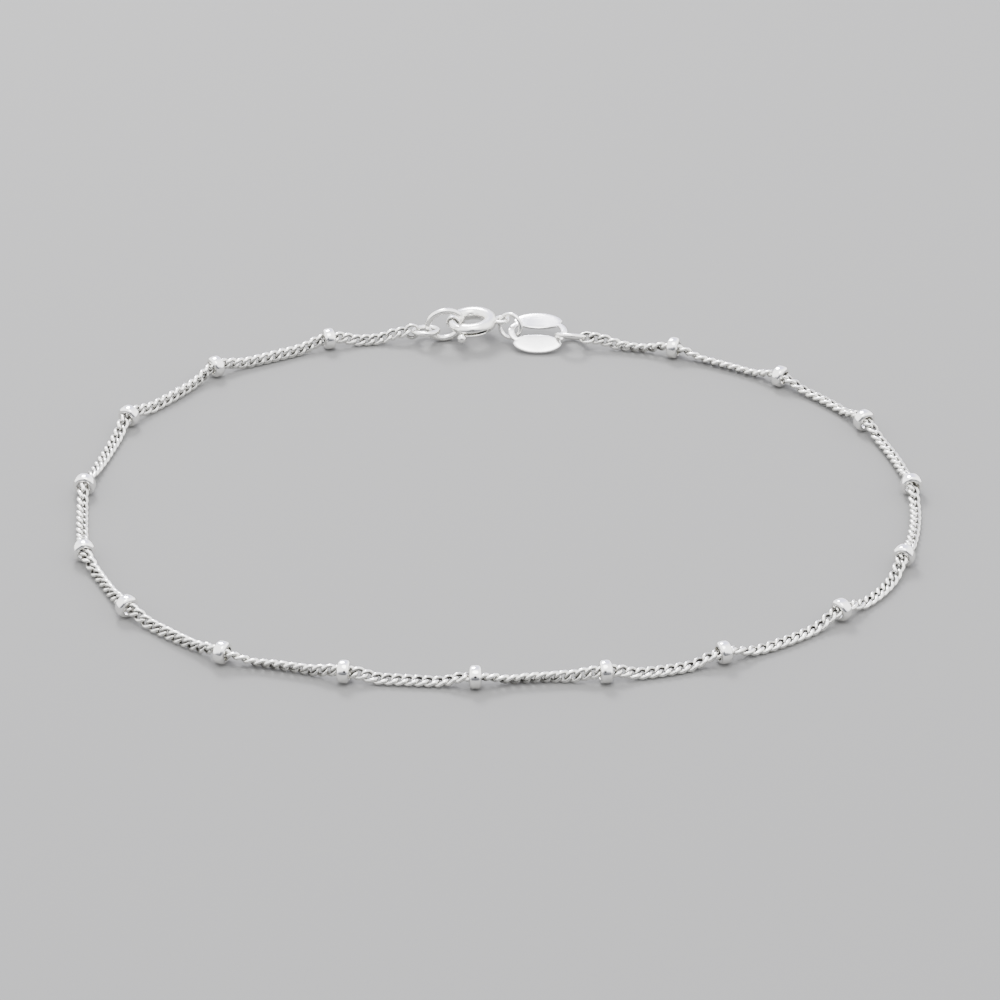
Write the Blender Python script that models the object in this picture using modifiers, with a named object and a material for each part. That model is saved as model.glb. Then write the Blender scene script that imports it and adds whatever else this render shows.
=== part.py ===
"""A sterling silver curb chain bracelet with round station beads and a spring ring clasp.

The bracelet lies on a table as a wide oval loop, closed by its clasp at the back.
+X runs to the right along the loop's long side, +Y to the back, +Z up.
The origin is on the table, under the middle of the whole part's box.

Sizes and places are in millimetres here. MM turns them to Blender's metres
at the one step where a mesh or a curve is made.
"""

import math

import bmesh
import bpy
from mathutils import Matrix, Vector

MM = 0.001
WELD = 1e-7

# Beads: low barrels with a bore, which stand on their rims on the table.
BEAD_RADIUS = 0.925
BEAD_LENGTH = 0.97
BEAD_BORE_RADIUS = 0.55
BEAD_CROWN = 0.015
BEAD_EDGE = 0.30
BEAD_SIDES = 14
BEAD_HEIGHT = BEAD_RADIUS

# Bead centres in the order of the chain, from the clasp's left side round the front
# to its right side. bow is how far the chain after a bead bulges outwards from the
# straight line to the next bead.
# Columns: x, y, bow
BEAD_ROWS = (
    (-14.6, 23.4, -0.15),
    (-24.1, 18.8, -0.30),
    (-30.9, 10.9, 0.00),
    (-33.7, 0.4, 0.10),
    (-32.9, -9.2, 0.00),
    (-28.9, -16.9, 0.20),
    (-21.1, -23.1, -0.15),
    (-11.7, -25.6, 0.00),
    (-1.7, -26.3, -0.20),
    (8.2, -25.6, 0.30),
    (17.3, -23.1, 0.50),
    (26.7, -17.4, 0.70),
    (32.2, -9.9, 0.46),
    (33.7, 0.4, 0.38),
    (30.6, 10.2, 0.40),
    (24.0, 17.2, 0.20),
    (15.1, 21.9, 0.00),
)

# Chain: a tube of the curb chain's mean outline. It runs straight through each bore
# and lies on the table between the beads.
CHAIN_RADIUS = 0.42
CHAIN_BEVEL = 2
CHAIN_LOW = CHAIN_RADIUS + 0.02
BORE_REACH = 0.62
RUN_STEPS = 3

# End link: the round link at each end of the chain, through an end ring. It has room
# for the ring's wire and for the first curb link.
END_LINK_RADIUS = 0.58
END_LINK_WIRE = 0.15
END_LINK_SIDES = 14
END_LINK_OFFSET = 0.17
LEFT_LINK_LEAN = 75.0
RIGHT_LINK_LEAN = 14.0
TUBE_END_REACH = 0.66

# Rings. A ring's lean tips its axis from straight up towards the front, in degrees,
# and its yaw then turns it about the vertical.
RING_SIDES = 20
RING_WIRE_SIDES = 6

LEFT_RING_CENTRE = (-6.24, 24.52, 1.05)
LEFT_RING_RADIUS = 1.05
LEFT_RING_WIRE = 0.23
LEFT_RING_LEAN = -15.0
LEFT_RING_YAW = 6.0

RIGHT_RING_CENTRE = (6.28, 23.65, 1.00)
RIGHT_RING_RADIUS = 1.225
RIGHT_RING_WIRE = 0.22
RIGHT_RING_LEAN = -33.6
RIGHT_RING_YAW = -8.5

JUMP_RING_CENTRE = (-4.585, 24.342, 1.775)
JUMP_RING_RADIUS = 1.52
JUMP_RING_WIRE = 0.27
JUMP_RING_LEAN = 99.6
JUMP_RING_YAW = 10.4

CLASP_LINK_CENTRE = (1.05, 24.665, 1.45)
CLASP_LINK_RADIUS = 1.025
CLASP_LINK_WIRE = 0.18
CLASP_LINK_LEAN = 72.9
CLASP_LINK_YAW = -29.6

# Spring ring: a hollow tube bent round, open between GAP_START and GAP_END. Its angles
# are in degrees about its own axis, from +X towards +Y. It leans as a ring does, and
# its roll lifts its right side.
CLASP_CENTRE = (-2.30, 25.12, 1.60)
CLASP_LEAN = -3.7
CLASP_ROLL = -4.5
CLASP_RADIUS = 1.64
TUBE_RADIUS = 0.57
TUBE_BORE_RADIUS = 0.45
GAP_START = 178.0
GAP_END = 238.0
BORE_OVERRUN = 4.0
ARC_STEP = 10.0
EYE_RADIUS = 0.52
EYE_WIRE = 0.17
EYE_REACH = TUBE_RADIUS + 0.41

# Trigger: a tongue that slides inside the tube across the gap, and its thumb knob,
# whose stem goes through a slot in the tube, low on its outer side.
TONGUE_RADIUS = 0.33
TONGUE_TIP = 166.0
TONGUE_TAIL = 258.0
KNOB_ANGLE = 251.0
KNOB_DIP = 20.0
KNOB_RADIUS = 0.38
KNOB_REACH = TUBE_RADIUS + 0.04 + KNOB_RADIUS
STEM_RADIUS = 0.15
SLOT_START = 248.5
SLOT_END = 306.0
SLOT_RADIUS = 0.24

# Tag: a flat stamped frame of two ovals side by side, joined at their ends by two
# straps. It tips forward, with its front oval low.
TAG_CENTRE = (3.43, 24.094, 1.11)
TAG_TILT = 22.0
TAG_YAW = -2.0
TAG_THICKNESS = 0.30
OVAL_HALF_LENGTH = 2.10
OVAL_HALF_WIDTH = 0.90
OVAL_ARC = 1.125
OVAL_OFFSET = 1.24
STRAP_OUTER = (2.55, 1.50)
STRAP_INNER = (2.02, 1.25)
OUTER_POINTS = 48
SLOT_POINTS = 32


def remove_everything():
    for old in list(bpy.data.objects):
        bpy.data.objects.remove(old, do_unlink=True)


def new_collection(name):
    collection = bpy.data.collections.new(name)
    bpy.context.scene.collection.children.link(collection)
    return collection


def new_material(name, colour, roughness):
    """A polished metal, made with the Principled shader."""
    material = bpy.data.materials.new(name)
    material.use_nodes = True
    shader = material.node_tree.nodes["Principled BSDF"]
    shader.inputs["Base Color"].default_value = (*colour, 1.0)
    shader.inputs["Metallic"].default_value = 1.0
    shader.inputs["Roughness"].default_value = roughness
    return material


def millimetres(point):
    return Vector(point) * MM


def place(part, collection, material=None):
    """Put an object in one collection and give it its finish."""
    for other in list(part.users_collection):
        other.objects.unlink(part)
    collection.objects.link(part)
    if material is not None:
        part.data.materials.clear()
        part.data.materials.append(material)
    part.data.shade_smooth()
    part.data.set_sharp_from_angle(angle=math.radians(40))
    return part


def turned(lean, yaw=0.0):
    """The turn that tips +Z towards the front by lean and then yaws it, in degrees."""
    return Matrix.Rotation(math.radians(yaw), 4, "Z") @ Matrix.Rotation(math.radians(lean), 4, "X")


def wire(name, points, radius, bevel):
    """A round wire along points, as a closed mesh with welded end caps."""
    curve = bpy.data.curves.new(name, "CURVE")
    curve.dimensions = "3D"
    curve.bevel_depth = radius * MM
    curve.bevel_resolution = bevel
    curve.use_fill_caps = True
    spline = curve.splines.new("POLY")
    spline.points.add(len(points) - 1)
    for slot, point in zip(spline.points, points):
        slot.co = (*millimetres(point), 1.0)
    guide = bpy.data.objects.new(name + "_guide", curve)
    bpy.context.scene.collection.objects.link(guide)
    bpy.context.view_layer.update()
    evaluated = guide.evaluated_get(bpy.context.evaluated_depsgraph_get())
    mesh = bpy.data.meshes.new_from_object(evaluated)
    mesh.name = name
    turn = guide.matrix_world.copy()
    bpy.data.objects.remove(guide, do_unlink=True)
    work = bmesh.new()
    work.from_mesh(mesh)
    bmesh.ops.remove_doubles(work, verts=work.verts, dist=WELD)
    bmesh.ops.recalc_face_normals(work, faces=work.faces)
    work.to_mesh(mesh)
    work.free()
    solid = bpy.data.objects.new(name, mesh)
    solid.matrix_world = turn
    bpy.context.scene.collection.objects.link(solid)
    return solid


def ring(name, centre, radius, wire_radius, lean=0.0, yaw=0.0, sides=RING_SIDES):
    """A closed ring of round wire."""
    bpy.ops.mesh.primitive_torus_add(
        major_radius=radius * MM,
        minor_radius=wire_radius * MM,
        major_segments=sides,
        minor_segments=RING_WIRE_SIDES,
    )
    part = bpy.context.object
    part.name = name
    part.data.name = name
    part.matrix_world = Matrix.Translation(millimetres(centre)) @ turned(lean, yaw)
    return part


def combine(part, tool, operation, cutters):
    """Join a tool to a part or cut it away, and keep the tool as a hidden guide."""
    place(tool, cutters)
    tool.hide_render = True
    tool.display_type = "WIRE"
    boolean = part.modifiers.new(tool.name, "BOOLEAN")
    boolean.operation = operation
    boolean.solver = "EXACT"
    boolean.object = tool


def ring_end(centre, reach, yaw):
    """The point at a reach from a ring's middle, to the right along its level diameter."""
    angle = math.radians(yaw)
    return Vector(centre) + Vector((math.cos(angle), math.sin(angle), 0.0)) * reach


def run_directions(points):
    """The flat unit direction of each straight line from one point to the next."""
    return [(b - a).normalized() for a, b in zip(points, points[1:])]


def run_point(start, end, share, bow, low):
    """A point on the chain between two held ends.

    It lies on the straight line, moved outwards by a parabola of height bow,
    and on the table except at the two ends.
    """
    along = (end - start).normalized()
    outwards = Vector((along.y, -along.x, 0.0))
    point = start.lerp(end, share) + outwards * bow * 4.0 * share * (1.0 - share)
    if 0.0 < share < 1.0:
        point.z = low
    return point


def chain_route():
    """Bead axes and the chain's points, from the left end link to the right one."""
    left = ring_end(LEFT_RING_CENTRE, -LEFT_RING_RADIUS - TUBE_END_REACH, LEFT_RING_YAW)
    right = ring_end(RIGHT_RING_CENTRE, RIGHT_RING_RADIUS + TUBE_END_REACH, RIGHT_RING_YAW)
    beads = [Vector((x, y, BEAD_HEIGHT)) for x, y, bow in BEAD_ROWS]
    flat = [Vector((p.x, p.y, 0.0)) for p in [left] + beads + [right]]
    ways = run_directions(flat)
    axes = [(before + after).normalized() for before, after in zip(ways, ways[1:])]
    starts = [left] + [bead + axis * BORE_REACH for bead, axis in zip(beads, axes)]
    ends = [bead - axis * BORE_REACH for bead, axis in zip(beads, axes)] + [right]
    bows = [0.0] + [bow for x, y, bow in BEAD_ROWS]
    points = []
    for start, end, bow in zip(starts, ends, bows):
        for step in range(RUN_STEPS + 1):
            points.append(run_point(start, end, step / RUN_STEPS, bow, CHAIN_LOW))
    return beads, axes, points


def build_chain(collection, cutters, material, points):
    """The chain's tube with a real end link fused to each end."""
    chain = place(wire("chain", points, CHAIN_RADIUS, CHAIN_BEVEL), collection, material)
    ends = (
        ("left", LEFT_RING_CENTRE, -LEFT_RING_RADIUS - END_LINK_OFFSET, LEFT_LINK_LEAN,
         LEFT_RING_YAW),
        ("right", RIGHT_RING_CENTRE, RIGHT_RING_RADIUS + END_LINK_OFFSET, RIGHT_LINK_LEAN,
         RIGHT_RING_YAW),
    )
    for side, centre, reach, lean, yaw in ends:
        middle = ring_end(centre, reach, yaw)
        link = ring("end_link_" + side, middle, END_LINK_RADIUS, END_LINK_WIRE, lean, yaw,
                    END_LINK_SIDES)
        combine(chain, link, "UNION", cutters)
    return chain


def bead_mesh():
    """A closed half section of one bead, from the top down.

    The side bulges a little in its middle, and a quarter circle of the edge's radius
    joins it to each end face.
    """
    half = BEAD_LENGTH / 2.0
    rim = BEAD_RADIUS - BEAD_CROWN - BEAD_EDGE
    corner = []
    for degrees in (90.0, 60.0, 30.0, 0.0):
        angle = math.radians(degrees)
        radius = rim + BEAD_EDGE * math.cos(angle)
        corner.append((radius, half - BEAD_EDGE + BEAD_EDGE * math.sin(angle)))
    section = [(BEAD_BORE_RADIUS, half)]
    section += corner
    section += [(BEAD_RADIUS, 0.0)]
    section += [(radius, -z) for radius, z in reversed(corner)]
    section += [(BEAD_BORE_RADIUS, -half)]
    mesh = bpy.data.meshes.new("bead_section")
    points = [(r * MM, 0.0, z * MM) for r, z in section]
    edges = [(i, (i + 1) % len(points)) for i in range(len(points))]
    mesh.from_pydata(points, edges, [])
    return mesh


def build_beads(collection, material, beads, axes):
    """Each bead turns one shared section about its own axis with a Screw modifier."""
    section = bead_mesh()
    up = Vector((0.0, 0.0, 1.0))
    for number, (centre, axis) in enumerate(zip(beads, axes), start=1):
        bead = bpy.data.objects.new(f"bead_{number:02d}", section)
        side = axis.cross(up)
        turn = Matrix((up, side, axis)).transposed().to_4x4()
        bead.matrix_world = Matrix.Translation(centre * MM) @ turn
        screw = bead.modifiers.new("turned", "SCREW")
        screw.axis = "Z"
        screw.steps = BEAD_SIDES
        screw.render_steps = BEAD_SIDES
        screw.use_merge_vertices = True
        screw.merge_threshold = WELD
        place(bead, collection, material)


def arc_points(radius, start, end, height=0.0):
    """Points round +Z from one angle to another, no more than ARC_STEP apart."""
    steps = math.ceil((end - start) / ARC_STEP)
    angles = [math.radians(start + (end - start) * i / steps) for i in range(steps + 1)]
    return [(radius * math.cos(a), radius * math.sin(a), height) for a in angles]


def clasp_place():
    """The turn and place of the spring ring and its trigger, from the clasp's own axes."""
    roll = Matrix.Rotation(math.radians(CLASP_ROLL), 4, "Y")
    return Matrix.Translation(millimetres(CLASP_CENTRE)) @ roll @ turned(CLASP_LEAN)


def knob_way():
    """The tongue's middle at the knob, and the stem's direction out of the tube."""
    angle = math.radians(KNOB_ANGLE)
    dip = math.radians(KNOB_DIP)
    outwards = Vector((math.cos(angle), math.sin(angle), 0.0))
    way = outwards * math.cos(dip) - Vector((0.0, 0.0, math.sin(dip)))
    return outwards * CLASP_RADIUS, way


def build_spring_ring(collection, cutters, material):
    """The clasp's tube with its eye, hollowed from end to end and slotted for the knob."""
    centre = clasp_place()
    full = 360.0
    tube = wire("spring_ring", arc_points(CLASP_RADIUS, GAP_END, GAP_START + full), TUBE_RADIUS, 4)
    tube.matrix_world = centre
    place(tube, collection, material)
    eye = ring("clasp_eye", (0.0, 0.0, 0.0), EYE_RADIUS, EYE_WIRE, sides=16)
    eye.matrix_world = centre @ Matrix.Translation(millimetres((CLASP_RADIUS + EYE_REACH, 0.0, 0.0)))
    combine(tube, eye, "UNION", cutters)
    bore_arc = arc_points(CLASP_RADIUS, GAP_END - BORE_OVERRUN, GAP_START + full + BORE_OVERRUN)
    bore = wire("clasp_bore", bore_arc, TUBE_BORE_RADIUS, 4)
    bore.matrix_world = centre
    combine(tube, bore, "DIFFERENCE", cutters)
    dip = math.radians(KNOB_DIP)
    slot_radius = CLASP_RADIUS + TUBE_RADIUS * math.cos(dip)
    slot_arc = arc_points(slot_radius, SLOT_START, SLOT_END, -TUBE_RADIUS * math.sin(dip))
    slot = wire("knob_slot", slot_arc, SLOT_RADIUS, 2)
    slot.matrix_world = centre
    combine(tube, slot, "DIFFERENCE", cutters)
    return tube


def build_trigger(collection, cutters, material):
    """The tongue, its stem and its knob as one solid, with its origin on the joint axis."""
    centre = clasp_place()
    arc = arc_points(CLASP_RADIUS, TONGUE_TIP, TONGUE_TAIL)
    trigger = wire("trigger", arc, TONGUE_RADIUS, 2)
    trigger.matrix_world = centre
    place(trigger, collection, material)
    root, way = knob_way()
    stem = wire("knob_stem", [root, root + way * KNOB_REACH], STEM_RADIUS, 2)
    stem.matrix_world = centre
    combine(trigger, stem, "UNION", cutters)
    bpy.ops.mesh.primitive_uv_sphere_add(segments=14, ring_count=9, radius=KNOB_RADIUS * MM)
    knob = bpy.context.object
    knob.name = "thumb_knob"
    knob.matrix_world = centre @ Matrix.Translation(millimetres(root + way * KNOB_REACH))
    combine(trigger, knob, "UNION", cutters)
    return trigger


def ellipse_reach(angle, half_x, half_y):
    """How far a ray from the middle goes to an ellipse round the middle."""
    return 1.0 / math.hypot(math.cos(angle) / half_x, math.sin(angle) / half_y)


def ellipse_meets(angle, half_x, half_y, offset):
    """Where a ray from the middle meets an ellipse that stands off it, or None."""
    x = math.cos(angle) / half_x
    y = abs(math.sin(angle)) / half_y
    away = offset / half_y
    a = x * x + y * y
    b = y * away
    c = away * away - 1.0
    inside = b * b - a * c
    if inside <= 0.0:
        return None
    root = math.sqrt(inside)
    return (b - root) / a, (b + root) / a


def oval_reach(angle):
    """Where a ray from the tag's middle goes into and out of a pointed oval, or None.

    The oval is what two larger ellipses share. One makes its near edge, the other its
    far edge, and they cross at its two points.
    """
    shift = OVAL_ARC - OVAL_HALF_WIDTH
    half_x = OVAL_HALF_LENGTH / math.sqrt(1.0 - (shift / OVAL_ARC) ** 2)
    near = ellipse_meets(angle, half_x, OVAL_ARC, OVAL_OFFSET + shift)
    far = ellipse_meets(angle, half_x, OVAL_ARC, OVAL_OFFSET - shift)
    if near is None:
        return None
    return near[0], min(near[1], far[1])


def tag_outline(count, outer):
    """The tag's outer edge or its slot's edge, as points round its middle."""
    half_x, half_y = STRAP_OUTER if outer else STRAP_INNER
    points = []
    for i in range(count):
        angle = 2.0 * math.pi * (i + 0.5) / count
        reach = ellipse_reach(angle, half_x, half_y)
        oval = oval_reach(angle)
        if oval is not None:
            reach = max(reach, oval[1]) if outer else min(reach, oval[0])
        points.append((reach * math.cos(angle), reach * math.sin(angle), 0.0))
    return points


def build_tag(collection, material):
    """A flat outline with its slot, given half its thickness to each side."""
    outline = bpy.data.curves.new("tag_link", "CURVE")
    outline.dimensions = "2D"
    outline.fill_mode = "BOTH"
    outline.extrude = TAG_THICKNESS / 2.0 * MM
    for points in (tag_outline(OUTER_POINTS, True), tag_outline(SLOT_POINTS, False)):
        spline = outline.splines.new("POLY")
        spline.points.add(len(points) - 1)
        for slot, point in zip(spline.points, points):
            slot.co = (*millimetres(point), 1.0)
        spline.use_cyclic_u = True
    tag = bpy.data.objects.new("tag_link", outline)
    tag.matrix_world = Matrix.Translation(millimetres(TAG_CENTRE)) @ turned(TAG_TILT, TAG_YAW)
    collection.objects.link(tag)
    outline.materials.append(material)
    return tag


def main():
    remove_everything()
    collection = new_collection("curb_chain_bracelet")
    cutters = new_collection("cutters")
    silver = new_material("polished_silver", (0.88, 0.88, 0.86), 0.16)
    bead_silver = new_material("bead_silver", (0.90, 0.90, 0.89), 0.10)
    chain_silver = new_material("chain_silver", (0.86, 0.86, 0.84), 0.22)
    tag_silver = new_material("tag_silver", (0.92, 0.92, 0.91), 0.25)
    beads, axes, points = chain_route()
    build_chain(collection, cutters, chain_silver, points)
    build_beads(collection, bead_silver, beads, axes)
    rings = (
        ("end_ring_left", LEFT_RING_CENTRE, LEFT_RING_RADIUS, LEFT_RING_WIRE, LEFT_RING_LEAN,
         LEFT_RING_YAW),
        ("end_ring_right", RIGHT_RING_CENTRE, RIGHT_RING_RADIUS, RIGHT_RING_WIRE,
         RIGHT_RING_LEAN, RIGHT_RING_YAW),
        ("jump_ring", JUMP_RING_CENTRE, JUMP_RING_RADIUS, JUMP_RING_WIRE, JUMP_RING_LEAN,
         JUMP_RING_YAW),
        ("clasp_link", CLASP_LINK_CENTRE, CLASP_LINK_RADIUS, CLASP_LINK_WIRE, CLASP_LINK_LEAN,
         CLASP_LINK_YAW),
    )
    for name, centre, radius, wire_radius, lean, yaw in rings:
        place(ring(name, centre, radius, wire_radius, lean, yaw), collection, silver)
    build_spring_ring(collection, cutters, silver)
    build_trigger(collection, cutters, silver)
    build_tag(collection, tag_silver)


main()
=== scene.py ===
# %% [markdown]
# # A silver curb chain with round beads and a spring ring clasp
# The bracelet lies on a table as a wide oval loop. Its chain is about 1 mm wide, and every
# link is a real twisted link. Seventeen barrel beads are threaded on it, and the clasp group
# closes the loop at the back.
#
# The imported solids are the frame. They say where each piece is, and each finished piece
# takes the place of the solid with its name.

import math

import bmesh
import bpy
import numpy as np
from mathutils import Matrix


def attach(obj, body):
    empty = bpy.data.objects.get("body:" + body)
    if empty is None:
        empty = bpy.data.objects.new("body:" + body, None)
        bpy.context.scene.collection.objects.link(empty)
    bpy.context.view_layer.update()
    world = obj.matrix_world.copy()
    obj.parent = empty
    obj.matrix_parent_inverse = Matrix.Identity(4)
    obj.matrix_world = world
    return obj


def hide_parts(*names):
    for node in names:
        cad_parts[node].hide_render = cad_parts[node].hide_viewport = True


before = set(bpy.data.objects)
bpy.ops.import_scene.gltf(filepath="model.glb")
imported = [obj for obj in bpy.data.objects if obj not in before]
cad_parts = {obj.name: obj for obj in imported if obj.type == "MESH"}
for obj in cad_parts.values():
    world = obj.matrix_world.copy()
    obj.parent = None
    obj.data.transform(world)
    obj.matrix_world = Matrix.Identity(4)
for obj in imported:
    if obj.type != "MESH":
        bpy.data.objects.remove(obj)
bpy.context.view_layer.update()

# %% [markdown]
# ## Units and the way a surface is made
# Places and sizes are in millimetres, as a jeweller would give them, and one factor turns
# them to metres where a mesh is made.
#
# Every shape here is a surface p(u, v) on a grid. numpy works out all of its points at once,
# and the grid's squares become the faces. This gives even, smooth metal with a small file,
# where modelling by hand would need many loops and modifiers.

# %% A grid of faces
MM = 0.001
WELD = 1e-8


def full_turn(count):
    """Evenly spaced angles once round, in radians: 2 pi k / count."""
    return np.linspace(0.0, 2.0 * math.pi, count, endpoint=False)


def grid_faces(rows, columns, round_rows=False, round_columns=False):
    """Four corners for each square of a rows x columns grid of points.

    Point (i, j) has number i * columns + j. A round direction joins its last row or
    column to its first one.
    """
    i = np.arange(rows if round_rows else rows - 1)[:, None]
    j = np.arange(columns if round_columns else columns - 1)[None, :]
    below = (i + 1) % rows
    beside = (j + 1) % columns
    corners = [i * columns + j, below * columns + j,
               below * columns + beside, i * columns + beside]
    size = (i.size, j.size)
    return np.stack([np.broadcast_to(c, size) for c in corners], axis=-1).reshape(-1, 4)


print("a closed 4 x 3 grid has", len(grid_faces(4, 3, True, True)), "faces")

# %% A mesh from points and faces
def make_piece(name, points, faces, material, body="root", nodes=(), sharp=50.0):
    """A smooth closed mesh at the origin, whose place is in its points.

    Points that meet at a pole or a seam become one, and all normals are turned outwards.
    """
    points = np.asarray(points, dtype=float).reshape(-1, 3)
    mesh = bpy.data.meshes.new(name)
    mesh.vertices.add(len(points))
    mesh.vertices.foreach_set("co", (points * MM).astype(np.float32).ravel())
    mesh.loops.add(faces.size)
    mesh.loops.foreach_set("vertex_index", faces.astype(np.int32).ravel())
    mesh.polygons.add(len(faces))
    mesh.polygons.foreach_set("loop_start", np.arange(0, faces.size, 4, dtype=np.int32))
    mesh.update(calc_edges=True)
    work = bmesh.new()
    work.from_mesh(mesh)
    bmesh.ops.remove_doubles(work, verts=work.verts, dist=WELD)
    bmesh.ops.recalc_face_normals(work, faces=work.faces)
    work.to_mesh(mesh)
    work.free()
    mesh.shade_smooth()
    mesh.set_sharp_from_angle(angle=math.radians(sharp))
    mesh.materials.append(material)
    piece = bpy.data.objects.new(name, mesh)
    bpy.context.scene.collection.objects.link(piece)
    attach(piece, body)
    if nodes:
        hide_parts(*nodes)
    return piece


def turned(points, lean=0.0, yaw=0.0, centre=(0.0, 0.0, 0.0)):
    """Points tipped by lean about X, +Z towards the front, turned by yaw about Z and moved."""
    a, b = math.radians(lean), math.radians(yaw)
    tip = np.array([[1, 0, 0], [0, math.cos(a), -math.sin(a)], [0, math.sin(a), math.cos(a)]])
    spin = np.array([[math.cos(b), -math.sin(b), 0], [math.sin(b), math.cos(b), 0], [0, 0, 1]])
    return points @ (spin @ tip).T + np.array(centre)


print("1 mm along Z after a lean of 90:", np.round(turned(np.array([0.0, 0.0, 1.0]), 90.0), 3))

# %% [markdown]
# ## The camera
# The object was seen from the front and above, from far away, so it shows little perspective.
# The camera looks down at 33.4 degrees along +Y with a long lens. No shift and no depth of
# field are needed.

# %% Set the camera
LOOK_DOWN = 33.4
CAMERA_PLACE = (0.17, -269.1, 177.1)
LENS = 142.2

camera = bpy.data.objects.new("camera", bpy.data.cameras.new("camera"))
camera.data.lens = LENS
camera.data.clip_start = 0.01
camera.location = np.array(CAMERA_PLACE) * MM
camera.rotation_euler = (math.radians(90.0 - LOOK_DOWN), 0.0, 0.0)
bpy.context.scene.collection.objects.link(camera)
bpy.context.scene.camera = camera
print("camera", CAMERA_PLACE, "mm, lens", LENS, "mm")

# %% [markdown]
# ## Materials
# All of the metal is sterling silver, which has a bright, faintly warm white colour. What
# differs is how each piece was finished, and that shows as roughness and as tiny waves:
# - the rings and the clasp were drawn or rolled and then polished,
# - the beads were turned and burnished, so they mirror most sharply,
# - the chain was tumbled with steel shot, which leaves a fine hammered skin, and its recesses
#   are painted dark: partly tarnish, and partly painted shade where the links cover each other,
# - the tag was stamped, and its face keeps a satin polish.

# %% Colours and nodes
def srgb(code):
    """An sRGB hex value as linear colour.

    A channel c is c / 12.92 below 0.04045, and ((c + 0.055) / 1.055) ** 2.4 above it.
    """
    values = [int(code[k:k + 2], 16) / 255.0 for k in (1, 3, 5)]
    linear = [c / 12.92 if c < 0.04045 else ((c + 0.055) / 1.055) ** 2.4 for c in values]
    return (*linear, 1.0)


def add_node(tree, kind, inputs=(), **settings):
    """A node with its settings. Each input is a socket and its number, colour or source."""
    node = tree.nodes.new(kind)
    for key, value in settings.items():
        setattr(node, key, value)
    for socket, value in inputs:
        if isinstance(value, bpy.types.NodeSocket):
            tree.links.new(value, node.inputs[socket])
        else:
            node.inputs[socket].default_value = value
    return node


print("silver #F3F2EE is", [round(c, 3) for c in srgb("#F3F2EE")])

# %% Silver finishes
# The noise goes from the first value, smooth or clean, to the second, worn or tarnished
WORN_NOISE = (0.35, 0.70)
TARNISH_NOISE = (0.50, 0.80)
MOST_TARNISH = 0.35
RIPPLE_STRENGTH = 0.5


def silver(name, colour, tarnish_and_shade_colour, smooth, worn, patch, ripple, ripple_depth, recess_shade=False):
    """Sterling silver with a patchy polish, fine ripples and a little tarnish.

    smooth and worn are roughnesses. patch and ripple are the sizes of one polish patch and
    one ripple, and ripple_depth is the height of a ripple, in millimetres.
    Noise N(p / size) moves the roughness between smooth and worn, and the colour towards
    the tarnish colour where the noise is high. Where the piece's recess attribute is high, the
    colour is painted darker too: painted shade on the wire's inner side, partly tarnish.
    """
    material = bpy.data.materials.new(name)
    material.use_nodes = True
    tree = material.node_tree
    shader = tree.nodes["Principled BSDF"]
    shader.inputs["Metallic"].default_value = 1.0
    place = add_node(tree, "ShaderNodeTexCoord").outputs["Object"]
    patches = add_node(tree, "ShaderNodeTexNoise", [
        ("Vector", place), ("Scale", 1.0 / (patch * MM)), ("Detail", 4.0), ("Roughness", 0.6)])
    polish = add_node(tree, "ShaderNodeMapRange", [
        ("Value", patches.outputs["Fac"]), ("From Min", WORN_NOISE[0]),
        ("From Max", WORN_NOISE[1]), ("To Min", smooth), ("To Max", worn)])
    tree.links.new(polish.outputs["Result"], shader.inputs["Roughness"])
    shade_and_tarnish_share = add_node(tree, "ShaderNodeMapRange", [
        ("Value", patches.outputs["Fac"]), ("From Min", TARNISH_NOISE[0]),
        ("From Max", TARNISH_NOISE[1]), ("To Min", 0.0), ("To Max", MOST_TARNISH),
    ]).outputs["Result"]
    # Painted shade, partly tarnish: the recess attribute darkens each wire's inner side
    if recess_shade:
        recess_shade_value = add_node(tree, "ShaderNodeAttribute", attribute_name="recess_shade").outputs["Fac"]
        shade_and_tarnish_share = add_node(tree, "ShaderNodeMath", [(0, shade_and_tarnish_share), (1, recess_shade_value)], operation="ADD",
                        use_clamp=True).outputs["Value"]
    tint = add_node(tree, "ShaderNodeMix", [(0, shade_and_tarnish_share), (6, srgb(colour)), (7, srgb(tarnish_and_shade_colour))],
                    data_type="RGBA")
    tree.links.new(tint.outputs[2], shader.inputs["Base Color"])
    ripples = add_node(tree, "ShaderNodeTexNoise", [
        ("Vector", place), ("Scale", 1.0 / (ripple * MM)), ("Detail", 2.0)])
    bump = add_node(tree, "ShaderNodeBump", [
        ("Height", ripples.outputs["Fac"]), ("Distance", ripple_depth * MM),
        ("Strength", RIPPLE_STRENGTH)])
    tree.links.new(bump.outputs["Normal"], shader.inputs["Normal"])
    return material


polished = silver("polished_sterling_silver", "#F3F2EE", "#C9C7C2", 0.18, 0.30, 1.2, 0.35, 0.008)
burnished = silver("burnished_bead_silver", "#F4F3F0", "#CFCDC9", 0.06, 0.16, 0.9, 0.30, 0.008)
# The chain's dark colour is tarnish in the noise patches, and painted shade with some tarnish on
# the wires' inner sides
tumbled = silver("tumbled_wire_silver", "#F1F0EB", "#262522", 0.16, 0.28, 0.8, 0.16, 0.006,
                 recess_shade=True)
satin = silver("stamped_satin_silver", "#F5F4F2", "#D3D2D0", 0.16, 0.28, 1.5, 0.25, 0.006)
print("finishes:", [m.name for m in (polished, burnished, tumbled, satin)])

# %% [markdown]
# ## One curb link
# A curb link starts as a plain oval of round wire. It is then twisted by a little more than a
# quarter turn, so that its two ends lie across each other, and neighbours nest flat.
#
# It could be bent from a torus with modifiers. A formula is shorter, and it says just what
# the jeweller does: an oval, turned about the chain's line by an angle that goes from -50
# degrees at one end to +50 degrees at the other.

# %% Shape one link
LINK_HALF_LENGTH = 0.559
LINK_HALF_WIDTH = 0.378
LINK_WIRE = 0.172
LINK_TWIST = -50.0
LINK_STEPS = 14
LINK_SIDES = 6


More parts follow.
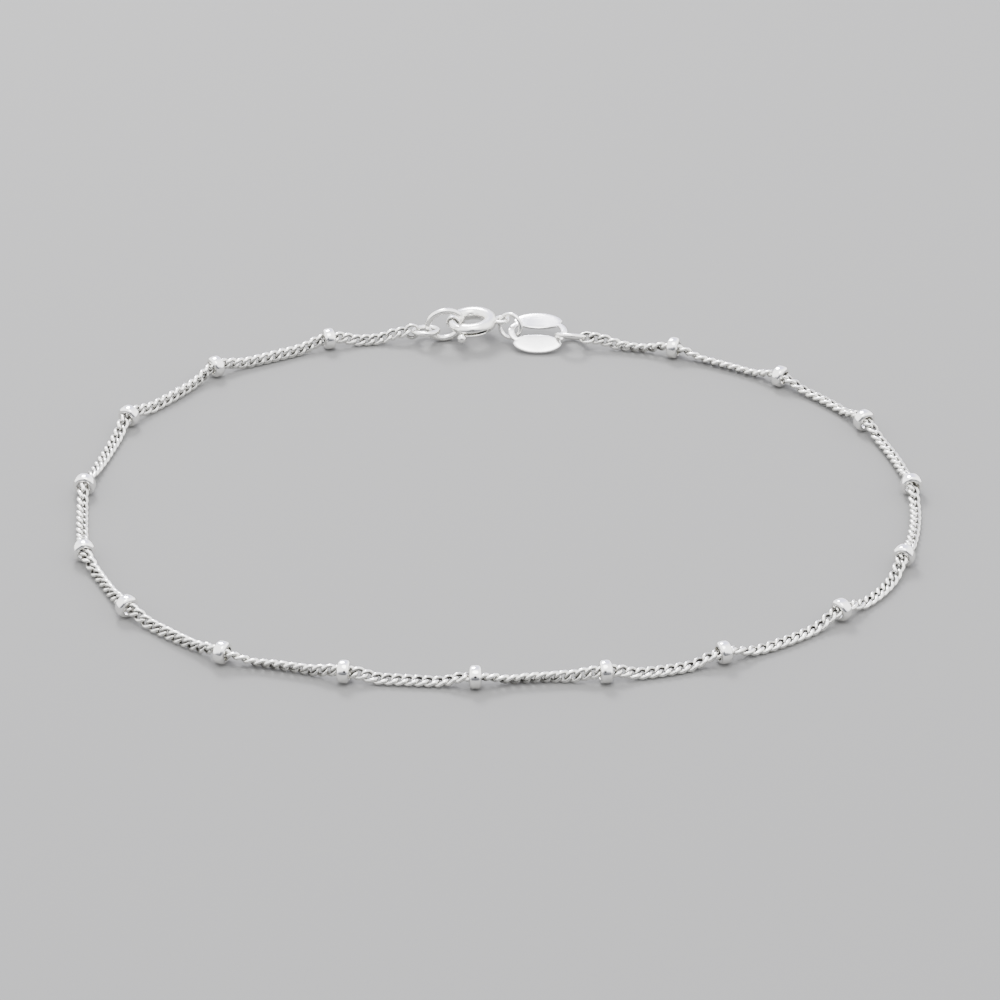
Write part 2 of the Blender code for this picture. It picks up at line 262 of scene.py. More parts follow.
def tube_round(path, radius, sides):
    """A round wire on a closed path: p(t, v) = c(t) + r (n cos v + b sin v).

    n points away from the middle, square to the path, and b is square to both.
    """
    along = np.roll(path, -1, axis=0) - np.roll(path, 1, axis=0)
    along /= np.linalg.norm(along, axis=1, keepdims=True)
    out = path - np.sum(path * along, axis=1, keepdims=True) * along
    out /= np.linalg.norm(out, axis=1, keepdims=True)
    across = np.cross(along, out)
    v = full_turn(sides)[None, :, None]
    return path[:, None] + radius * (out[:, None] * np.cos(v) + across[:, None] * np.sin(v))


def link_curve(turn):
    """The middle line of a link's wire: (l cos t, w sin t cos a, w sin t sin a).

    l and w are the link's half length and half width, and the twist a goes with cos t.
    """
    twist = math.radians(LINK_TWIST) * np.cos(turn)
    return np.stack([
        LINK_HALF_LENGTH * np.cos(turn),
        LINK_HALF_WIDTH * np.sin(turn) * np.cos(twist),
        LINK_HALF_WIDTH * np.sin(turn) * np.sin(twist),
    ], axis=1)


link_line = link_curve(full_turn(LINK_STEPS))
link_points = tube_round(link_line, LINK_WIRE, LINK_SIDES).reshape(-1, 3)
print("one link is", np.round(np.ptp(link_points, axis=0), 2), "mm with",
      LINK_STEPS * LINK_SIDES, "faces")

# %% [markdown]
# ## The chain's way round the loop
# The chain leaves an end ring, goes straight through each bead's bore, and sinks to the
# table between the beads. Each bead lies on its side, so the chain is highest in the beads.
#
# The way is worked out as a dense line of points: straight runs with a parabola's bulge, a
# short blur over the corners, and a height that eases down from each bead.

# %% Bead places
BEAD_RADIUS = 0.925
BEAD_LENGTH = 0.97
BEAD_BORE = 0.55
BORE_REACH = 0.62

# Columns: x, y and the bulge of the run after the bead, in millimetres
BEAD_ROWS = np.array([
    (-14.6, 23.4, -0.15),
    (-24.1, 18.8, -0.30),
    (-30.9, 10.9, 0.00),
    (-33.7, 0.4, 0.10),
    (-32.9, -9.2, 0.00),
    (-28.9, -16.9, 0.20),
    (-21.1, -23.1, -0.15),
    (-11.7, -25.6, 0.00),
    (-1.7, -26.3, -0.20),
    (8.2, -25.6, 0.30),
    (17.3, -23.1, 0.50),
    (26.7, -17.4, 0.70),
    (32.2, -9.9, 0.46),
    (33.7, 0.4, 0.38),
    (30.6, 10.2, 0.40),
    (24.0, 17.2, 0.20),
    (15.1, 21.9, 0.00),
])

LEFT_RING = {"centre": (-6.24, 24.52, 1.05), "radius": 1.05, "wire": 0.23,
             "lean": -15.0, "yaw": 6.0}
RIGHT_RING = {"centre": (6.28, 23.65, 1.00), "radius": 1.225, "wire": 0.22,
              "lean": -33.6, "yaw": -8.5}
END_LINK_RADIUS = 0.58
END_LINK_WIRE = 0.15
END_LINK_OFFSET = 0.17
LEFT_LINK_LEAN = 75.0
RIGHT_LINK_LEAN = 14.0
# From an end link's far wire to the middle of the first curb link
FIRST_LINK_GAP = 0.23
FIRST_LINK_REACH = END_LINK_OFFSET + END_LINK_RADIUS + FIRST_LINK_GAP


def ring_end(ring, reach):
    """The point on a ring's level diameter, reach beyond its wire, to the left if negative."""
    yaw = math.radians(ring["yaw"])
    distance = math.copysign(ring["radius"], reach) + reach
    return np.array(ring["centre"]) + distance * np.array([math.cos(yaw), math.sin(yaw), 0.0])


bead_places = BEAD_ROWS[:, :2]
bead_count = len(bead_places)
chain_ends = np.array([ring_end(LEFT_RING, -FIRST_LINK_REACH),
                       ring_end(RIGHT_RING, FIRST_LINK_REACH)])
stops = np.vstack([chain_ends[:1, :2], bead_places, chain_ends[1:, :2]])
ways = np.diff(stops, axis=0)
run_lengths = np.linalg.norm(ways, axis=1)
ways /= run_lengths[:, None]
bead_axes = ways[:-1] + ways[1:]
bead_axes /= np.linalg.norm(bead_axes, axis=1, keepdims=True)
print(bead_count, "beads, runs from", round(run_lengths.min(), 1), "to",
      round(run_lengths.max(), 1), "mm")

# %% A dense line along the chain
LINE_STEP = 0.05
CORNER_BLUR = 0.25
BLUR_REACH = 4.0 * CORNER_BLUR


def run_line(start, end, bulge):
    """Straight from start to end plus 4 b u (1 - u) outwards, for a share u from 0 to 1."""
    u = np.linspace(0.0, 1.0, max(2, int(np.linalg.norm(end - start) / LINE_STEP)))[:, None]
    way = (end - start) / np.linalg.norm(end - start)
    outwards = np.array([way[1], -way[0]])
    return start + (end - start) * u + outwards * (4.0 * bulge * u * (1.0 - u))


run_starts = np.vstack([stops[:1], bead_places + bead_axes * BORE_REACH])
run_stops = np.vstack([bead_places - bead_axes * BORE_REACH, stops[-1:]])
bulges = np.concatenate([[0.0], BEAD_ROWS[:, 2]])
line = []
for start, end, bulge in zip(run_starts, run_stops, bulges):
    line.append(run_line(start, end, bulge))
line = np.vstack(line)


def measure(points):
    """The distance from the first point to each point along the line."""
    return np.concatenate([[0.0], np.cumsum(np.linalg.norm(np.diff(points, axis=0), axis=1))])


length = measure(line)
even = np.arange(0.0, length[-1], LINE_STEP)
line = np.stack([np.interp(even, length, line[:, k]) for k in (0, 1)], axis=1)
# The blur averages the line with a bell curve, and the ends are mirrored through their points
reach = int(BLUR_REACH / LINE_STEP)
weights = np.exp(-0.5 * (np.arange(-reach, reach + 1) * LINE_STEP / CORNER_BLUR) ** 2)
weights /= weights.sum()
padded = np.vstack([2 * line[0] - line[reach:0:-1], line, 2 * line[-1] - line[-2:-reach - 2:-1]])
line = np.stack([np.convolve(padded[:, k], weights, mode="valid") for k in (0, 1)], axis=1)
length = measure(line)
nearest = np.linalg.norm(line[None] - bead_places[:, None], axis=2).argmin(axis=1)
bead_marks = length[nearest]
print("the chain's line is", round(length[-1], 1), "mm long")

# %% [markdown]
# ## How the chain rolls
# A curb chain is flat, and between two beads it can show its face, stand on its edge or lean.
# The table below gives its roll about its own line, counted from the angle at which its face
# looks straight at the viewer. Its places are bead numbers from 0 to 16, with -1 and 17 for
# the two ends. Between them the roll eases from one value to the next.
#
# Two neighbouring links can turn only so far on each other, so the roll changes step by
# step, and most of all in or beside a bead. Half a turn brings back the same look. At the
# two ends the roll lets the last links hook into the round end links.

# %% Roll of the links
# Columns: place in bead numbers, roll in degrees
ROLLS = np.array([
    (-1.00, 21.0),
    (-0.50, 8.0),
    (0.15, -10.0),
    (0.85, -30.0),
    (1.15, -42.0),
    (1.90, -15.0),
    (2.50, 20.0),
    (2.85, 50.0),
    (3.15, 140.0),
    (3.85, 165.0),
    (4.50, 215.0),
    (4.90, 205.0),
    (5.10, 182.0),
    (5.40, 190.0),
    (5.60, 205.0),
    (5.80, 222.0),
    (5.95, 240.0),
    (6.10, 266.0),
    (6.50, 240.0),
    (6.90, 210.0),
    (7.10, 170.0),
    (7.25, 148.0),
    (7.55, 136.0),
    (7.85, 126.0),
    (8.10, 78.0),
    (8.50, 52.0),
    (8.75, 20.0),
    (8.95, 0.0),
    (9.10, -15.0),
    (9.30, -35.0),
    (9.60, -45.0),
    (9.90, -65.0),
    (10.10, -74.0),
    (10.30, -55.0),
    (10.50, -48.0),
    (10.90, -44.0),
    (11.50, -38.0),
    (11.90, -15.0),
    (12.50, 20.0),
    (13.50, 40.0),
    (14.50, 60.0),
    (15.50, 85.0),
    (16.50, 115.0),
    (17.00, 182.6),
])

LINK_PITCH = 0.775
link_count = int(round(length[-1] / LINK_PITCH)) + 1
link_marks = np.linspace(0.0, length[-1], link_count)
stop_marks = np.concatenate([[0.0], bead_marks, length[-1:]])
station = np.interp(link_marks, stop_marks, np.arange(-1.0, bead_count + 1.0))


def eased(x, table):
    """The table's second column at x, with the ease 3 q^2 - 2 q^3 between two rows."""
    row = np.clip(np.searchsorted(table[:, 0], x, side="right") - 1, 0, len(table) - 2)
    q = np.clip((x - table[row, 0]) / (table[row + 1, 0] - table[row, 0]), 0.0, 1.0)
    return table[row, 1] + (table[row + 1, 1] - table[row, 1]) * q * q * (3.0 - 2.0 * q)


def viewed_roll(marks):
    """The roll, from straight up and outwards, at which a face looks at the viewer.

    The outwards direction's share of the way to the viewer is -cos(look down) times its y.
    """
    way = np.stack([np.gradient(np.interp(marks, length, line[:, k])) for k in (0, 1)], axis=1)
    outwards_y = -way[:, 0] / np.linalg.norm(way, axis=1)
    down = math.radians(LOOK_DOWN)
    return np.arctan2(-math.cos(down) * outwards_y, math.sin(down))


roll = viewed_roll(link_marks) + np.radians(eased(station, ROLLS))
roll_steps = np.degrees(np.diff(roll))
print(link_count, "links,", round(link_marks[1], 4), "mm apart; the roll steps from",
      round(roll_steps.min(), 1), "to", round(roll_steps.max(), 1), "degrees")

# %% [markdown]
# ## The height of each link
# A link's lowest point rests on the table, so its middle is as high as the link reaches down
# at its roll. Towards a bead or an end ring it eases up to the bore's height.

# %% Height of the links
TABLE_GAP = 0.005
SINK_LENGTH = 2.2
END_HOLD = 0.5
AVERAGED_LINKS = 5


def link_reach(angles):
    """How far a link reaches below its middle at each roll: max of -(y sin r + z cos r)."""
    y, z = link_points[:, 1][None], link_points[:, 2][None]
    return np.max(-(y * np.sin(angles)[:, None] + z * np.cos(angles)[:, None]), axis=1)


def rise(marks, held):
    """1 within the bore's reach of a held place, easing to 0 over the sink length beyond it."""
    distance = np.min(np.abs(marks[:, None] - held[None]), axis=1)
    q = np.clip((distance - BORE_REACH) / SINK_LENGTH, 0.0, 1.0)
    return 1.0 - q * q * (3.0 - 2.0 * q)


held = np.concatenate([[-END_HOLD], bead_marks, [length[-1] + END_HOLD]])
held_height = np.concatenate([
    chain_ends[:1, 2], np.full(bead_count, BEAD_RADIUS), chain_ends[1:, 2]])
# A link's middle is at least as high as the links round it reach down on average
reach_down = link_reach(roll)
low = np.convolve(np.pad(reach_down, AVERAGED_LINKS // 2, mode="edge"),
                  np.ones(AVERAGED_LINKS) / AVERAGED_LINKS, mode="valid")
low = np.maximum(low, reach_down) + TABLE_GAP
share = rise(link_marks, held)
link_height = low + (np.interp(link_marks, held, held_height) - low) * share
link_height = np.maximum(link_height, low)
print("links lie", round(link_height.min(), 2), "to", round(link_height.max(), 2), "mm high")

# %% Place every link
link_middles = np.stack([
    np.interp(link_marks, length, line[:, 0]),
    np.interp(link_marks, length, line[:, 1]),
    link_height,
], axis=1)
along = np.gradient(link_middles, axis=0)
along /= np.linalg.norm(along, axis=1, keepdims=True)
outwards = np.stack([along[:, 1], -along[:, 0], np.zeros(link_count)], axis=1)
outwards /= np.linalg.norm(outwards, axis=1, keepdims=True)
upwards = np.cross(outwards, along)
face_way = np.cos(roll)[:, None] * upwards + np.sin(roll)[:, None] * outwards
wide_way = np.cross(face_way, along)
link_frames = np.stack([along, wide_way, face_way], axis=1)
turned_links = np.einsum("pk,lkc->lpc", link_points, link_frames)
lowest = link_middles[:, 2] + turned_links[..., 2].min(axis=1)
link_middles[:, 2] += np.clip(TABLE_GAP - lowest, 0.0, None)
chain_points = link_middles[:, None] + turned_links
print("chain box", np.round(chain_points.reshape(-1, 3).min(axis=0), 2),
      np.round(chain_points.reshape(-1, 3).max(axis=0), 2))

# %% [markdown]
# ## How closely the links hook
# Two neighbours hook into each other, and in a real chain their wires touch. Here the middles
# of two neighbouring wires are a little less than one wire's thickness apart, so the wires
# press into each other a little, and most beside a bead, where the roll changes fastest.

# %% Wire distances
FINE_STEPS = 72

fine_line = link_curve(full_turn(FINE_STEPS))
fine_links = link_middles[:, None] + np.einsum("pk,lkc->lpc", fine_line, link_frames)
apart = np.linalg.norm(fine_links[:-1, :, None] - fine_links[1:, None, :], axis=-1)
gaps = apart.min(axis=(1, 2))
print("wire middles are", round(gaps.min(), 3), "to", round(gaps.max(), 3),
      "mm apart; the wire is", 2 * LINK_WIRE)

# %% [markdown]
# ## The chain as one piece
# All of the curb links are alike, and the two round end links have as many points. So the 84
# faces of one link are repeated, and smooth shading rounds its wire. A point's recess says how
# far it faces the link's own hole. There the silver is painted dark: partly tarnish, where the
# tumbler's shot doesn't reach, and partly painted shade, so the holes between links look dark.

# %% Make the chain
RECESS_SHADE_GAIN = 1.25


def wire_recess_shade(steps, sides):
    """Painted shade, partly tarnish: 1 on the wire's inner side, 0 on its outer half, from -g cos v
    kept within 0 and 1.
    """
    return np.tile(np.clip(-RECESS_SHADE_GAIN * np.cos(full_turn(sides)), 0.0, 1.0), steps)


def end_link(ring, side, lean):
    """The round link that joins the chain to an end ring."""
    turn = full_turn(LINK_STEPS)
    circle = np.stack([np.cos(turn), np.sin(turn), np.zeros(LINK_STEPS)], axis=1)
    tube = tube_round(circle * END_LINK_RADIUS, END_LINK_WIRE, LINK_SIDES)
    return turned(tube.reshape(-1, 3), lean, ring["yaw"], ring_end(ring, side * END_LINK_OFFSET))


all_links = np.concatenate([
    chain_points,
    end_link(LEFT_RING, -1.0, LEFT_LINK_LEAN)[None],
    end_link(RIGHT_RING, 1.0, RIGHT_LINK_LEAN)[None],
])
one_link = grid_faces(LINK_STEPS, LINK_SIDES, True, True)
offsets = np.arange(len(all_links))[:, None, None] * (LINK_STEPS * LINK_SIDES)
chain = make_piece("curb_chain", all_links, (one_link[None] + offsets).reshape(-1, 4), tumbled,
                   nodes=["chain"], sharp=180.0)
# The recess attribute paints each wire's inner side dark: painted shade, partly tarnish
recess_shade = chain.data.attributes.new("recess_shade", "FLOAT", "POINT")
recess_shade.data.foreach_set("value", np.tile(wire_recess_shade(LINK_STEPS, LINK_SIDES), len(all_links)))
print("the chain has", len(all_links), "links and", len(chain.data.polygons), "faces")

# %% [markdown]
# ## The beads
# A station bead is a short barrel, turned from rod, drilled and burnished. Its side hardly
# bulges, and wide rounded shoulders lead to the two narrow rims round its bore.
#
# It is a profile turned round the bead's axis. A primitive sphere would be too round, and
# its hole would need a Boolean.

# %% Turn the beads
BEAD_AROUND = 48
BEAD_EDGE = 0.30
BEAD_CROWN = 0.015
PROFILE_POINTS = 9
EDGE_START = 12.0
# The bore's rounded mouth: how much wider than the bore, and how deep behind the rim
BORE_MOUTH = [(0.04, 0.0), (0.01, 0.01), (0.0, 0.04)]
BORE_MIDDLE = 0.15


def bead_profile():
    """Distance from the axis and place along it, from one mouth of the bore to the other.

    The side is r = R - k s^2 for a share s of its half length, and a quarter circle of
    the edge's radius rounds each rim.
    """
    half = BEAD_LENGTH / 2.0
    s = np.linspace(-1.0, 1.0, PROFILE_POINTS)
    side = BEAD_RADIUS - BEAD_CROWN * s ** 2
    side_x = s * (half - BEAD_EDGE)
    corner = np.radians(np.linspace(EDGE_START, 90.0, PROFILE_POINTS))
    rim = side[-1] - BEAD_EDGE
    edge = np.stack([rim + BEAD_EDGE * np.cos(corner),
                     half - BEAD_EDGE + BEAD_EDGE * np.sin(corner)], axis=1)
    mouth = [(BEAD_BORE + wider, half - deeper) for wider, deeper in BORE_MOUTH]
    right = np.vstack([edge, mouth, [(BEAD_BORE, BORE_MIDDLE)]])
    left = right[::-1] * [1.0, -1.0]
    return np.vstack([left, np.stack([side, side_x], axis=1), right])


profile = bead_profile()
bead_faces = grid_faces(BEAD_AROUND, len(profile), True, True)
around = full_turn(BEAD_AROUND)[:, None]
for number, (place, axis) in enumerate(zip(bead_places, bead_axes), start=1):
    axis = np.array([axis[0], axis[1], 0.0])
    side = np.cross(axis, [0.0, 0.0, 1.0])
    spoke = np.cos(around) * np.array([0.0, 0.0, 1.0]) + np.sin(around) * side
    middle = np.array([place[0], place[1], BEAD_RADIUS])
    points = middle + profile[None, :, :1] * spoke[:, None] + profile[None, :, 1:] * axis
    make_piece(f"bead_{number:02d}_turned", points, bead_faces, burnished,
               nodes=[f"bead_{number:02d}"], sharp=35.0)
print(bead_count, "beads of", len(bead_faces), "faces each")

# %% [markdown]
# ## The plain rings
# Each ring is a turn of round wire, soldered shut. It is a torus:
# p(u, v) = ((R + r cos v) cos u, (R + r cos v) sin u, r sin v).

# %% Make the rings
RING_AROUND = 72
WIRE_AROUND = 20

JUMP_RING = {"centre": (-4.585, 24.342, 1.775), "radius": 1.52, "wire": 0.27,
             "lean": 99.6, "yaw": 10.4}
CLASP_LINK = {"centre": (1.05, 24.665, 1.45), "radius": 1.025, "wire": 0.18,
              "lean": 72.9, "yaw": -29.6}


def torus(radius, wire):
    """Points of a torus about +Z: distance R + r cos v from the axis at height r sin v."""
    u = full_turn(RING_AROUND)[:, None]
    v = full_turn(WIRE_AROUND)[None, :]
    distance = radius + wire * np.cos(v)
    height = np.broadcast_to(wire * np.sin(v), (RING_AROUND, WIRE_AROUND))
    return np.stack([distance * np.cos(u), distance * np.sin(u), height], axis=-1)


ring_faces = grid_faces(RING_AROUND, WIRE_AROUND, True, True)
for name, ring in (("end_ring_left", LEFT_RING), ("end_ring_right", RIGHT_RING),
                   ("jump_ring", JUMP_RING), ("clasp_link", CLASP_LINK)):
    points = turned(torus(ring["radius"], ring["wire"]), ring["lean"], ring["yaw"], ring["centre"])
    make_piece(name + "_wire", points, ring_faces, polished, nodes=[name])
print("4 rings of", len(ring_faces), "faces each")

# %% [markdown]
# ## The spring ring
# The clasp is a hollow tube, bent round and left open on one side. It is made as the tube's
# outer skin alone, with no faces where the thumb knob's slot is, and a Solidify
# modifier then gives the skin its wall.

# %% Bend the tube
CLASP_CENTRE = np.array([-2.30, 25.12, 1.60])
CLASP_LEAN = -3.7
CLASP_ROLL = -4.5
CLASP_RADIUS = 1.64
TUBE_RADIUS = 0.57
TUBE_WALL = 0.14
GAP_START = 178.0
GAP_END = 238.0
SLOT_START = 246.0
SLOT_END = 308.0
SLOT_LOW = -39.0
SLOT_HIGH = -1.0
SLOT_ROWS = 7
OTHER_ROWS = 28
SOFT_EDGE = 0.03


def clasp_placed(points):
    """Points in the clasp's own axes, leaned, rolled about Y and moved to the clasp's place."""
    a = math.radians(CLASP_ROLL)
    roll_turn = np.array([[math.cos(a), 0, math.sin(a)], [0, 1, 0], [-math.sin(a), 0, math.cos(a)]])
    return turned(points, CLASP_LEAN) @ roll_turn.T + CLASP_CENTRE


def bent_tube(u, v, radius):
    """A tube bent round +Z: p = ((R + r cos v) cos u, (R + r cos v) sin u, r sin v)."""
    distance = CLASP_RADIUS + radius * np.cos(v)
    height = np.broadcast_to(radius * np.sin(v), distance.shape)
    return np.stack([distance * np.cos(u), distance * np.sin(u), height], axis=-1)


u_degrees = np.concatenate([
    np.linspace(GAP_END, SLOT_START, 3),
    np.linspace(SLOT_START, SLOT_END, 22)[1:],
    np.linspace(SLOT_END, GAP_START + 360.0, 72)[1:],
])
v_degrees = np.concatenate([
    np.linspace(SLOT_LOW, SLOT_HIGH, SLOT_ROWS + 1),
    np.linspace(SLOT_HIGH, SLOT_LOW + 360.0, OTHER_ROWS + 1)[1:-1],
])
skin = bent_tube(np.radians(u_degrees)[:, None], np.radians(v_degrees)[None, :],
                 np.full((len(u_degrees), len(v_degrees)), TUBE_RADIUS))
skin_faces = grid_faces(len(u_degrees), len(v_degrees), False, True).reshape(
    len(u_degrees) - 1, len(v_degrees), 4)
u_middle = (u_degrees[:-1] + u_degrees[1:]) / 2.0
along_slot = (u_middle > SLOT_START) & (u_middle < SLOT_END)
in_slot = along_slot[:, None] & (np.arange(len(v_degrees)) < SLOT_ROWS)[None]
clasp = make_piece("spring_ring_tube", clasp_placed(skin), skin_faces[~in_slot], polished,
                   nodes=["spring_ring"])
wall = clasp.modifiers.new("wall", "SOLIDIFY")
wall.thickness = TUBE_WALL * MM
wall.offset = -1.0
soft_edge = clasp.modifiers.new("soft_edge", "BEVEL")
soft_edge.width = SOFT_EDGE * MM
soft_edge.segments = 2
soft_edge.limit_method = "ANGLE"
soft_edge.angle_limit = math.radians(50.0)
print("the tube's skin has", len(clasp.data.polygons), "faces")

# %% The eye on the spring ring
EYE_RADIUS = 0.52
EYE_WIRE = 0.17
# From the tube's side to the middle of the eye
EYE_STAND = 0.41
EYE_REACH = TUBE_RADIUS + EYE_STAND

eye_points = torus(EYE_RADIUS, EYE_WIRE) + [CLASP_RADIUS + EYE_REACH, 0.0, 0.0]
make_piece("spring_ring_eye", clasp_placed(eye_points), ring_faces, polished)
print("the eye's hole is", round(2 * (EYE_RADIUS - EYE_WIRE), 2), "mm wide")

# %% [markdown]
# ## The trigger
# A sprung tongue closes the gap. The thumb pulls it back into the tube by a small ball knob
# that stands out through the slot. The tongue is a round bar with domed ends, carried along
# an arc, and the stem and knob are one turned profile. It rides on the body that turns.

# %% Make the tongue and knob
TONGUE_RADIUS = 0.37
TONGUE_TIP = 166.0
TONGUE_TAIL = 258.0
KNOB_ANGLE = math.radians(251.0)
KNOB_DIP = math.radians(20.0)
KNOB_RADIUS = 0.38
STEM_RADIUS = 0.15
STEM_START = 0.3
KNOB_GAP = 0.04
KNOB_REACH = TUBE_RADIUS + KNOB_GAP + KNOB_RADIUS
TONGUE_POINTS = 61
KNOB_POINTS = 22

u = np.radians(np.linspace(TONGUE_TIP, TONGUE_TAIL, TONGUE_POINTS))
inside = np.minimum(u - u[0], u[-1] - u) * CLASP_RADIUS
dome = np.clip(1.0 - inside / TONGUE_RADIUS, 0.0, 1.0)
bar_radius = TONGUE_RADIUS * np.sqrt(1.0 - dome ** 2)
v = full_turn(WIRE_AROUND)
tongue = bent_tube(u[:, None], v[None, :], bar_radius[:, None])
tongue_faces = grid_faces(len(u), len(v), False, True)

out = np.array([math.cos(KNOB_ANGLE), math.sin(KNOB_ANGLE), 0.0])
stem_way = out * math.cos(KNOB_DIP) - np.array([0.0, 0.0, math.sin(KNOB_DIP)])
stem_side = np.array([-math.sin(KNOB_ANGLE), math.cos(KNOB_ANGLE), 0.0])
stem_up = np.cross(stem_way, stem_side)
polar = np.linspace(math.pi - math.asin(STEM_RADIUS / KNOB_RADIUS), 0.0, KNOB_POINTS)
knob_profile = np.vstack([
    [(0.0, 0.0), (STEM_RADIUS, 0.0), (STEM_RADIUS, STEM_START)],
    np.stack([KNOB_RADIUS * np.sin(polar), KNOB_REACH + KNOB_RADIUS * np.cos(polar)], axis=1),
])
spokes = np.cos(v)[:, None] * stem_side + np.sin(v)[:, None] * stem_up
knob = (out * CLASP_RADIUS + knob_profile[:, None, :1] * spokes[None]
        + knob_profile[:, None, 1:] * stem_way)
tongue, knob = tongue.reshape(-1, 3), knob.reshape(-1, 3)
knob_faces = grid_faces(len(knob_profile), len(v), False, True) + len(tongue)
make_piece("trigger_bolt", clasp_placed(np.vstack([tongue, knob])),
           np.vstack([tongue_faces, knob_faces]), polished, body="trigger", nodes=["trigger"])
print("the knob is", round(2 * KNOB_RADIUS, 2), "mm across")

# %% [markdown]
# ## The tag
# The tag is a flat stamping: two ovals side by side, joined at their ends by two straps, with
# a slot between them. Two rings hang in the slot.
#
# Seen from its middle, the slot's edge and the outer edge lie one behind the other at every
# angle. So the tag is a rounded section, as wide as the metal is there, carried once round.

# %% Stamp the tag
TAG_CENTRE = (3.43, 24.094, 1.11)
TAG_TILT = 22.0
TAG_YAW = -2.0
TAG_THICKNESS = 0.30
TAG_FOLD = math.radians(6.0)
OVAL_HALF_LENGTH = 2.10
OVAL_HALF_WIDTH = 0.90
OVAL_ARC = 1.125
OVAL_OFFSET = 1.24
STRAP_OUTER = (2.55, 1.50)
STRAP_INNER = (2.02, 1.25)
TAG_AROUND = 180
TAG_SECTION = 28


def ellipse_reach(angle, half_x, half_y):
    """How far a ray from the middle goes to an ellipse.

    That is 1 / sqrt((cos a / x)^2 + (sin a / y)^2) for the half axes x and y.
    """
    return 1.0 / np.hypot(np.cos(angle) / half_x, np.sin(angle) / half_y)


def ellipse_meets(angle, half_x, half_y, offset):
    """Where a ray goes into and out of an ellipse that stands off the middle, and if it does.

    The places are the two roots t of a t^2 - 2 b t + c = 0.
    """
    x = np.cos(angle) / half_x
    y = np.abs(np.sin(angle)) / half_y
    away = offset / half_y
    a, b, c = x * x + y * y, y * away, away * away - 1.0
    root = np.sqrt(np.clip(b * b - a * c, 0.0, None))
    return (b - root) / a, (b + root) / a, b * b > a * c


def oval_reach(angle):
    """Where a ray goes into and out of a pointed oval, which is what two larger ellipses share."""
    shift = OVAL_ARC - OVAL_HALF_WIDTH
    half_x = OVAL_HALF_LENGTH / math.sqrt(1.0 - (shift / OVAL_ARC) ** 2)
    near, past, meets = ellipse_meets(angle, half_x, OVAL_ARC, OVAL_OFFSET + shift)
    far = ellipse_meets(angle, half_x, OVAL_ARC, OVAL_OFFSET - shift)[1]
    return near, np.minimum(past, far), meets


def squared(wave, power=0.45):
    """A sine wave made squarer: sign(w) |w| ** power."""
    return np.sign(wave) * np.abs(wave) ** power


angle = full_turn(TAG_AROUND)
near, far, meets = oval_reach(angle)
inner = ellipse_reach(angle, *STRAP_INNER)
outer = ellipse_reach(angle, *STRAP_OUTER)
inner = np.where(meets, np.minimum(inner, near), inner)
outer = np.where(meets, np.maximum(outer, far), outer)
section = full_turn(TAG_SECTION)
middle = ((inner + outer) / 2.0)[:, None]
half = ((outer - inner) / 2.0)[:, None]
radial = middle + half * squared(np.cos(section))[None]
flat = np.stack([radial * np.cos(angle)[:, None], radial * np.sin(angle)[:, None]], axis=-1)
# The two ovals fall away from the slot by the fold, and their middles stay at height 0
height = (TAG_THICKNESS / 2.0 * squared(np.sin(section))[None]
          - np.abs(flat[..., 1]) * math.tan(TAG_FOLD))
height = height + math.tan(TAG_FOLD) * OVAL_OFFSET
tag_points = np.concatenate([flat, height[..., None]], axis=-1)
tag_points = turned(tag_points, TAG_TILT, TAG_YAW, TAG_CENTRE)
make_piece("tag_stamped", tag_points, grid_faces(TAG_AROUND, TAG_SECTION, True, True), satin,
           nodes=["tag_link"])
print("the tag is", np.round(np.ptp(tag_points.reshape(-1, 3), axis=0), 2), "mm")

# %% [markdown]
# ## Floor and light
# The bracelet lies on a plain pale surface. Polished metal shows what stands round it, so the
# surround matters more than the lamps: it is white above, a little blue at the back, and dark
# on the viewer's side. Each wire then has a white back, a dark line and a grey belly. The
# viewer's own lens is a small dark disc, which each bead mirrors as a dot.
#
# One round soft panel overhead gives the brightest spots, and one behind draws a glint along
# every wire's back and a short shadow before it. A bare lamp would leave both too hard.

# %% Floor
def plain(name, colour, roughness):
    """A matt, even surface."""
    material = bpy.data.materials.new(name)
    material.use_nodes = True
    shader = material.node_tree.nodes["Principled BSDF"]
    shader.inputs["Base Color"].default_value = srgb(colour)
    shader.inputs["Roughness"].default_value = roughness
    return material


FLOOR_HALF = 1500.0
floor_mesh = bpy.data.meshes.new("floor")
floor_mesh.from_pydata([(x * FLOOR_HALF * MM, y * FLOOR_HALF * MM, 0.0)
                        for x, y in ((-1, -1), (1, -1), (1, 1), (-1, 1))], [], [(0, 1, 2, 3)])
floor_mesh.materials.append(plain("pale_table", "#757574", 1.0))
floor = bpy.data.objects.new("floor", floor_mesh)
bpy.context.scene.collection.objects.link(floor)
print("floor", 2 * FLOOR_HALF, "mm wide")

# %% Lights
def soft_panel(name, place, size, power):
    """A round soft light that faces the middle of the bracelet.

    place and size are in millimetres, and power is in watts.
    """
    lamp = bpy.data.lights.new(name, "AREA")
    lamp.shape = "DISK"
    lamp.size = size * MM
    lamp.energy = power
    panel = bpy.data.objects.new(name, lamp)
    panel.location = np.array(place) * MM
    x, y, z = place
    panel.rotation_euler = (math.atan2(math.hypot(x, y), z), 0.0, math.atan2(y, x) + math.pi / 2.0)
    bpy.context.scene.collection.objects.link(panel)


soft_panel("overhead_panel", (0.0, -60.0, 300.0), 190.0, 0.5)
soft_panel("back_panel", (-70.0, 240.0, 260.0), 130.0, 2.2)
print("panels:", [item.name for item in bpy.data.lights])

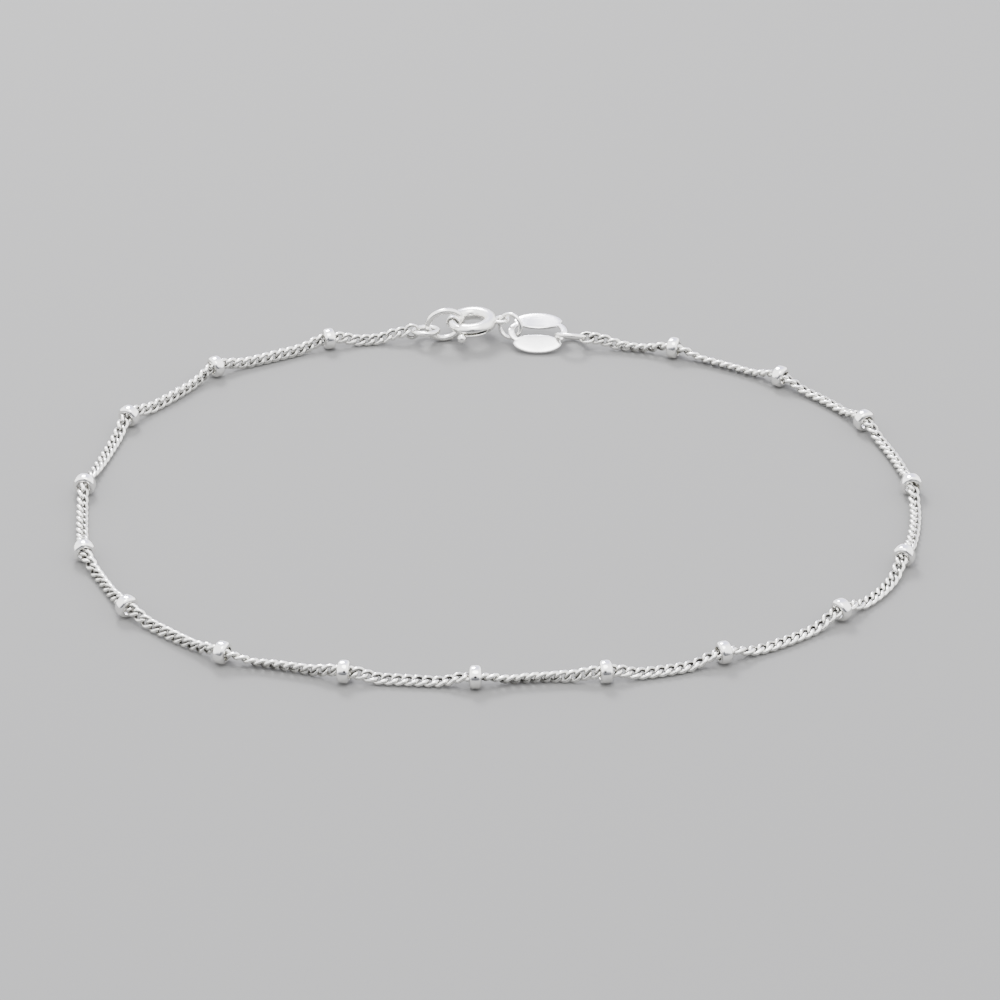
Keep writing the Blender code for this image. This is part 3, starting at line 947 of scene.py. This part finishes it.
# %% The bright and dark sides of the surround
BRIGHT_TILT = 50.0
BRIGHT = 3.7
LENS_HALF_ANGLE = 10.0
LENS_BLUR = 0.006


def direction(from_up):
    """The unit direction at an angle from straight up, away from the viewer if positive."""
    return (0.0, math.sin(math.radians(from_up)), math.cos(math.radians(from_up)))


def add_ramp(tree, value, stops):
    """A colour ramp with stops of (value from -1 to 1, colour)."""
    share = add_node(tree, "ShaderNodeMapRange", [
        ("Value", value), ("From Min", -1.0), ("From Max", 1.0)])
    ramp = add_node(tree, "ShaderNodeValToRGB", [("Fac", share.outputs["Result"])])
    elements = ramp.color_ramp.elements
    while len(elements) < len(stops):
        elements.new(1.0)
    for element, (place, colour) in zip(elements, stops):
        element.position = (place + 1.0) / 2.0
        element.color = srgb(colour)
    return ramp.outputs["Color"]


world = bpy.data.worlds.new("studio")
world.use_nodes = True
tree = world.node_tree
way = add_node(tree, "ShaderNodeTexCoord").outputs["Generated"]
towards_back = add_node(tree, "ShaderNodeVectorMath", [(0, way), (1, direction(BRIGHT_TILT))],
                        operation="DOT_PRODUCT").outputs["Value"]
# From the viewer's side over the top to the back
sides = add_ramp(tree, towards_back, [
    (-0.60, "#46474B"), (-0.36, "#6E6F73"), (-0.16, "#F4F4F6"), (0.50, "#FFFFFF"),
    (0.80, "#F2F2F8"), (0.97, "#C4C4DC")])
towards_lens = add_node(tree, "ShaderNodeVectorMath", [(0, way), (1, direction(LOOK_DOWN - 90.0))],
                        operation="DOT_PRODUCT").outputs["Value"]
edge = math.cos(math.radians(LENS_HALF_ANGLE))
lens = add_ramp(tree, towards_lens, [(edge - LENS_BLUR, "#FFFFFF"), (edge, "#303033")])
both = add_node(tree, "ShaderNodeMix", [(0, 1.0), (6, sides), (7, lens)], data_type="RGBA",
                blend_type="MULTIPLY")
tree.links.new(both.outputs[2], tree.nodes["Background"].inputs["Color"])
tree.nodes["Background"].inputs["Strength"].default_value = BRIGHT
bpy.context.scene.world = world
print("the lens stands", 90.0 - LOOK_DOWN, "degrees from straight up")
